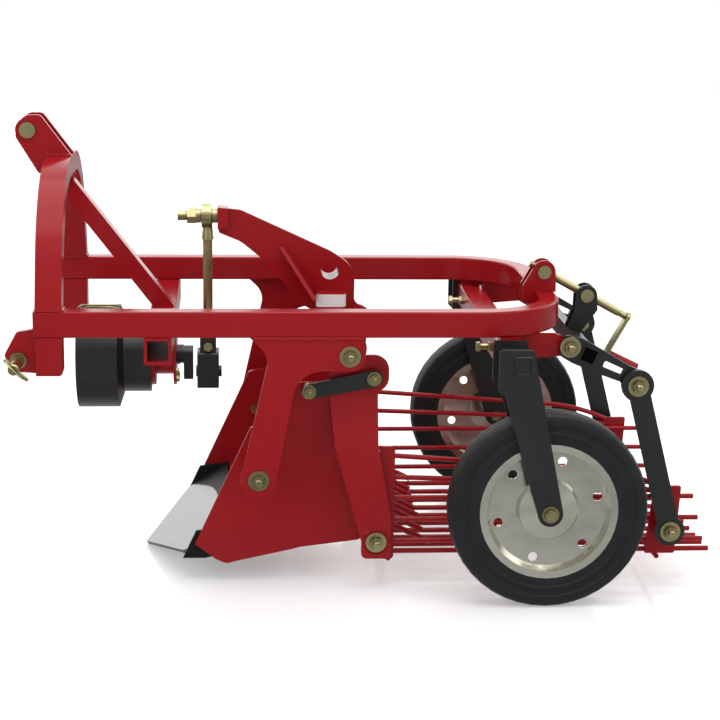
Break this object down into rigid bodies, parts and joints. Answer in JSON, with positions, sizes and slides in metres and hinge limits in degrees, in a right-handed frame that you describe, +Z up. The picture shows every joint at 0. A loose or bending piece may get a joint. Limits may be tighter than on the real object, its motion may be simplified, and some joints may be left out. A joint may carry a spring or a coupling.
{
  "type": "three-point-mounted shaking potato harvester",
  "caption": "Tractor-mounted single-row potato harvester with a share, a shaking rod sieve driven by a crank and rocker, and two gauge wheels.",
  "frame": {"origin": "centre of the bounding box in plan, at floor level under the tyres and the share's point", "axes": "+X towards the machine's rear, -X towards the tractor, +Y towards the machine's right side, +Z up"},
  "size_m": [1.444, 0.888, 0.939],
  "materials": {
    "red_paint": "gloss",
    "black_paint": "semi-gloss",
    "zinc": "yellow passivated zinc",
    "rim_zinc": "bright zinc",
    "tyre_rubber": "solid rubber",
    "guard_plastic": "satin"
  },
  "bodies": {
    "frame": {"main_rails": "red_paint", "arch": "red_paint", "top_link_ears": "red_paint", "top_link_pin": "zinc", "brace": "red_paint", "hitch_brackets": "red_paint", "lower_hitch_pins": "zinc", "front_cross_tube": "red_paint", "bearing_housing": "red_paint", "pto_guard": "guard_plastic", "side_brackets": "red_paint", "wheel_socket_tube": "red_paint", "rear_brackets": "red_paint", "screw_clevis": "red_paint", "wheel_forks": "black_paint", "wheel_axles": "zinc", "fork_clamps": "zinc", "frame_bolts": "zinc"},
    "crank": {"pto_crankshaft": "black_paint"},
    "rocker": {"rocker_shaft": "red_paint", "rocker_centre_arm": "red_paint", "nose_stud": "zinc", "rocker_side_arms": "red_paint", "rocker_bolts": "zinc"},
    "rod": {"push_rod": "zinc"},
    "block": {"crank_block": "black_paint", "block_bolt": "zinc"},
    "share": {"share_blade": "black_paint", "share_sides": "red_paint", "share_hubs": "red_paint", "share_bolts": "zinc", "share_deck": "red_paint", "share_fingers": "red_paint"},
    "links": {"share_links": "black_paint"},
    "front_pins": {"sieve_pins": "zinc"},
    "sieve": {"sieve_front_plates": "red_paint", "sieve_floor": "red_paint", "sieve_posts": "red_paint", "sieve_walls": "red_paint", "sieve_rear_plates": "red_paint", "sieve_rear_pins": "zinc"},
    "tilt": {"tilt_levers": "black_paint", "tilt_tube": "black_paint"},
    "upper_pins": {"link_pins": "zinc"},
    "hangers": {"rear_links": "black_paint"},
    "screw": {"crank_screw": "zinc", "screw_grip": "red_paint"},
    "nut": {"screw_nut": "zinc"},
    "wheel_left": {"tyre_left": "tyre_rubber", "rim_left": "rim_zinc"},
    "wheel_right": {"tyre_right": "tyre_rubber", "rim_right": "rim_zinc"}
  },
  "joints": [
    {"name": "rocker_swing", "type": "hinge", "parent": "frame", "child": "rocker", "pos_m": [-0.044, 0, 0.498], "axis": [0, 1, 0], "range_deg": [0, 15.17]},
    {"name": "crank_turn", "type": "hinge", "parent": "frame", "child": "crank", "pos_m": [-0.42, 0, 0.428], "axis": [1, 0, 0], "range_deg": [0, 180]},
    {"name": "rod_sway", "type": "hinge", "parent": "rocker", "child": "rod", "pos_m": [-0.328, 0, 0.727], "axis": [1, 0, 0], "range_deg": [-7.9, 7.9]},
    {"name": "block_pivot", "type": "hinge", "parent": "rod", "child": "block", "pos_m": [-0.328, 0, 0.45], "axis": [0, 1, 0], "range_deg": [-15.2, 0]},
    {"name": "share_swing", "type": "hinge", "parent": "frame", "child": "share", "pos_m": [-0.224, 0, 0.244], "axis": [0, 1, 0], "range_deg": [-6.6, 0]},
    {"name": "share_link_pivot", "type": "hinge", "parent": "rocker", "child": "links", "pos_m": [0.009, 0, 0.439], "axis": [0, 1, 0], "range_deg": [-5.5, 0]},
    {"name": "sieve_front_pivot", "type": "hinge", "parent": "rocker", "child": "front_pins", "pos_m": [0.016, 0, 0.102], "axis": [0, 1, 0], "range_deg": [-14.5, 0]},
    {"name": "sieve_pitch", "type": "hinge", "parent": "front_pins", "child": "sieve", "pos_m": [0.016, 0, 0.102], "axis": [0, 1, 0], "range_deg": [-1.5, 1.5]},
    {"name": "tilt_lever", "type": "hinge", "parent": "frame", "child": "tilt", "pos_m": [0.4, 0, 0.51], "axis": [0, 1, 0], "range_deg": [-7, 7]},
    {"name": "hanger_pitch", "type": "hinge", "parent": "tilt", "child": "upper_pins", "pos_m": [0.539, 0, 0.432], "axis": [0, 1, 0], "range_deg": [-9, 9]},
    {"name": "hanger_swing", "type": "hinge", "parent": "upper_pins", "child": "hangers", "pos_m": [0.539, 0, 0.432], "axis": [0, 1, 0], "range_deg": [0, 19.3]},
    {"name": "screw_pivot", "type": "hinge", "parent": "frame", "child": "screw", "pos_m": [0.374, 0, 0.629], "axis": [0, 1, 0], "range_deg": [-1.7, 1.7]},
    {"name": "nut_pivot", "type": "hinge", "parent": "tilt", "child": "nut", "pos_m": [0.466, 0, 0.579], "axis": [0, 1, 0], "range_deg": [-5.4, 5.4]},
    {"name": "wheel_left_spin", "type": "hinge", "parent": "frame", "child": "wheel_left", "pos_m": [0.35, -0.387, 0.2], "axis": [0, 1, 0], "continuous": true},
    {"name": "wheel_right_spin", "type": "hinge", "parent": "frame", "child": "wheel_right", "pos_m": [0.35, 0.387, 0.2], "axis": [0, 1, 0], "continuous": true}
  ],
  "couplings": [
    {"joint": "crank_turn", "follows": "rocker_swing", "ratio": 11.864},
    {"joint": "block_pivot", "follows": "rocker_swing", "ratio": -1},
    {"joint": "share_swing", "follows": "rocker_swing", "ratio": -0.4346},
    {"joint": "share_link_pivot", "follows": "rocker_swing", "ratio": -0.3619},
    {"joint": "sieve_front_pivot", "follows": "rocker_swing", "ratio": -0.9521},
    {"joint": "hanger_swing", "follows": "rocker_swing", "ratio": 1.2658},
    {"joint": "sieve_pitch", "follows": "tilt_lever", "ratio": 0.21},
    {"joint": "hanger_pitch", "follows": "tilt_lever", "ratio": -1.27},
    {"joint": "screw_pivot", "follows": "tilt_lever", "ratio": 0.235},
    {"joint": "nut_pivot", "follows": "tilt_lever", "ratio": -0.765}
  ]
}
